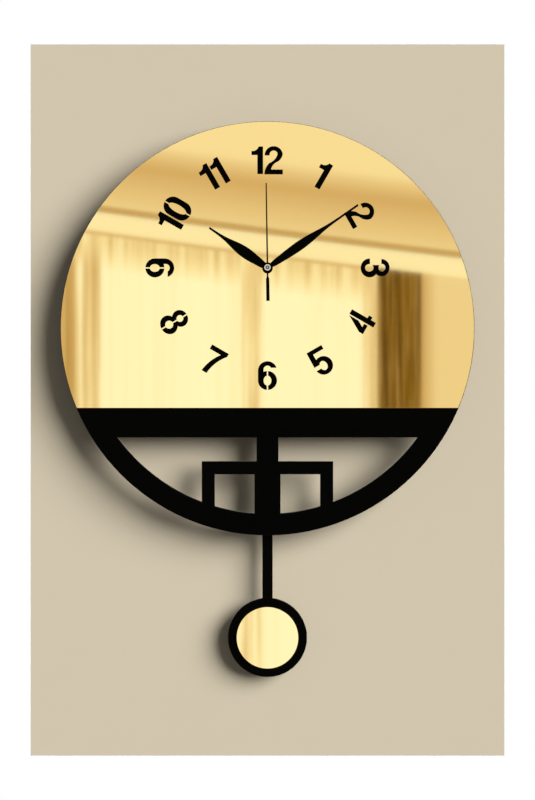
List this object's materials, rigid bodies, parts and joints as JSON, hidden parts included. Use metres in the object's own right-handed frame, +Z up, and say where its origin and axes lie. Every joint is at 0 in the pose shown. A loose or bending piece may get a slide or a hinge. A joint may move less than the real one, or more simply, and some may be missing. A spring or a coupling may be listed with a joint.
{
  "type": "pendulum wall clock",
  "caption": "Round wall clock faced with gold mirror acrylic on a black fretwork board, with stencil numerals, three hands and a mirrored pendulum bob below.",
  "frame": {"origin": "centre of the round entry of the hanger's keyhole, on the wall plane", "axes": "+Z up, +Y out of the back into the wall, +X to the right seen from the front"},
  "size_m": [0.305, 0.0313, 0.4105],
  "materials": {
    "board_black": "satin black acrylic sheet",
    "gold_mirror": "gold mirrored acrylic",
    "hand_black": "satin black paint on pressed aluminium",
    "chrome": "polished chrome",
    "brass": "turned brass",
    "zinc_steel": "zinc plated",
    "bright_steel": "bright drawn",
    "spring_steel": "nickel plated spring strip",
    "rubber": "matt",
    "case_black": "spark eroded moulding",
    "plate_grey": "moulded",
    "gear_white": "natural acetal",
    "gear_black": "black acetal",
    "bobbin_cream": "moulded",
    "copper_wire": "enamelled copper wire",
    "circuit_green": "solder mask",
    "chip_black": "epoxy drop",
    "crystal_can": "drawn can",
    "magnet_grey": "sintered ferrite",
    "battery_wrap": "printed foil sleeve"
  },
  "bodies": {
    "clock": {"back_board": "board_black", "mirror_face": "gold_mirror", "hanger_bracket": "zinc_steel", "rubber_gasket": "rubber", "fixing_washer": "zinc_steel", "fixing_nut": "brass", "threaded_bush": "brass", "middle_plate": "plate_grey", "train_bridge": "plate_grey", "stator": "bright_steel", "motor_bobbin": "bobbin_cream", "motor_coil": "copper_wire", "circuit_board": "circuit_green", "driver_chip": "chip_black", "quartz_crystal": "crystal_can", "movement_case": "case_black", "movement_cover": "case_black", "cover_screws": "zinc_steel", "battery": "battery_wrap", "battery_contact_positive": "spring_steel", "battery_contact_negative": "spring_steel", "pendulum_pin": "bright_steel", "drive_bobbin": "bobbin_cream", "drive_coil": "copper_wire", "drive_board": "circuit_green"},
    "hour": {"hour_wheel": "gear_white", "hour_collet": "brass", "hour_hand": "hand_black"},
    "minute": {"cannon_pinion": "gear_black", "minute_collet": "brass", "minute_hand": "hand_black"},
    "motion_work": {"motion_wheel": "gear_white"},
    "knob": {"setting_knob": "gear_black"},
    "seconds": {"seconds_arbor": "bright_steel", "seconds_wheel": "gear_white", "second_tube": "brass", "second_hand": "hand_black", "second_cap": "chrome"},
    "third": {"third_wheel": "gear_white"},
    "fifth": {"fifth_wheel": "gear_white"},
    "rotor": {"rotor_pinion": "gear_white", "rotor_magnet": "magnet_grey"},
    "centre": {"centre_wheel": "gear_black"},
    "pendulum": {"pendulum_arm": "gear_white", "arm_magnet": "magnet_grey", "pendulum_rod": "board_black", "bob_mirror": "gold_mirror"}
  },
  "joints": [
    {"name": "minute_hand_turn", "type": "hinge", "parent": "clock", "child": "minute", "pos_m": [0, -0.01, -0.037], "axis": [0, 1, 0], "continuous": true},
    {"name": "hour_hand_turn", "type": "hinge", "parent": "clock", "child": "hour", "pos_m": [0, -0.01, -0.037], "axis": [0, 1, 0], "continuous": true},
    {"name": "motion_wheel_turn", "type": "hinge", "parent": "clock", "child": "motion_work", "pos_m": [-0.0094, -0.01, -0.037], "axis": [0, 1, 0], "continuous": true},
    {"name": "setting_knob_turn", "type": "hinge", "parent": "clock", "child": "knob", "pos_m": [-0.01605, -0.01, -0.03035], "axis": [0, 1, 0], "continuous": true},
    {"name": "second_hand_turn", "type": "hinge", "parent": "clock", "child": "seconds", "pos_m": [0, -0.01, -0.037], "axis": [0, 1, 0], "continuous": true},
    {"name": "third_wheel_turn", "type": "hinge", "parent": "clock", "child": "third", "pos_m": [0, -0.01, -0.0278], "axis": [0, 1, 0], "continuous": true},
    {"name": "centre_wheel_turn", "type": "hinge", "parent": "clock", "child": "centre", "pos_m": [0, -0.01, -0.037], "axis": [0, 1, 0], "continuous": true},
    {"name": "fifth_wheel_turn", "type": "hinge", "parent": "clock", "child": "fifth", "pos_m": [0.008, -0.01, -0.037], "axis": [0, 1, 0], "continuous": true},
    {"name": "rotor_turn", "type": "hinge", "parent": "clock", "child": "rotor", "pos_m": [0.0115, -0.01, -0.03094], "axis": [0, 1, 0], "continuous": true},
    {"name": "pendulum_swing", "type": "hinge", "parent": "clock", "child": "pendulum", "pos_m": [0, -0.01, -0.073], "axis": [0, 1, 0], "range_deg": [-10, 10]}
  ],
  "couplings": [
    {"joint": "hour_hand_turn", "follows": "minute_hand_turn", "ratio": 0.083333},
    {"joint": "motion_wheel_turn", "follows": "minute_hand_turn", "ratio": -0.33333},
    {"joint": "setting_knob_turn", "follows": "minute_hand_turn", "ratio": 1},
    {"joint": "third_wheel_turn", "follows": "second_hand_turn", "ratio": -0.13333},
    {"joint": "centre_wheel_turn", "follows": "second_hand_turn", "ratio": 0.016667},
    {"joint": "fifth_wheel_turn", "follows": "second_hand_turn", "ratio": -5},
    {"joint": "rotor_turn", "follows": "second_hand_turn", "ratio": 30}
  ]
}
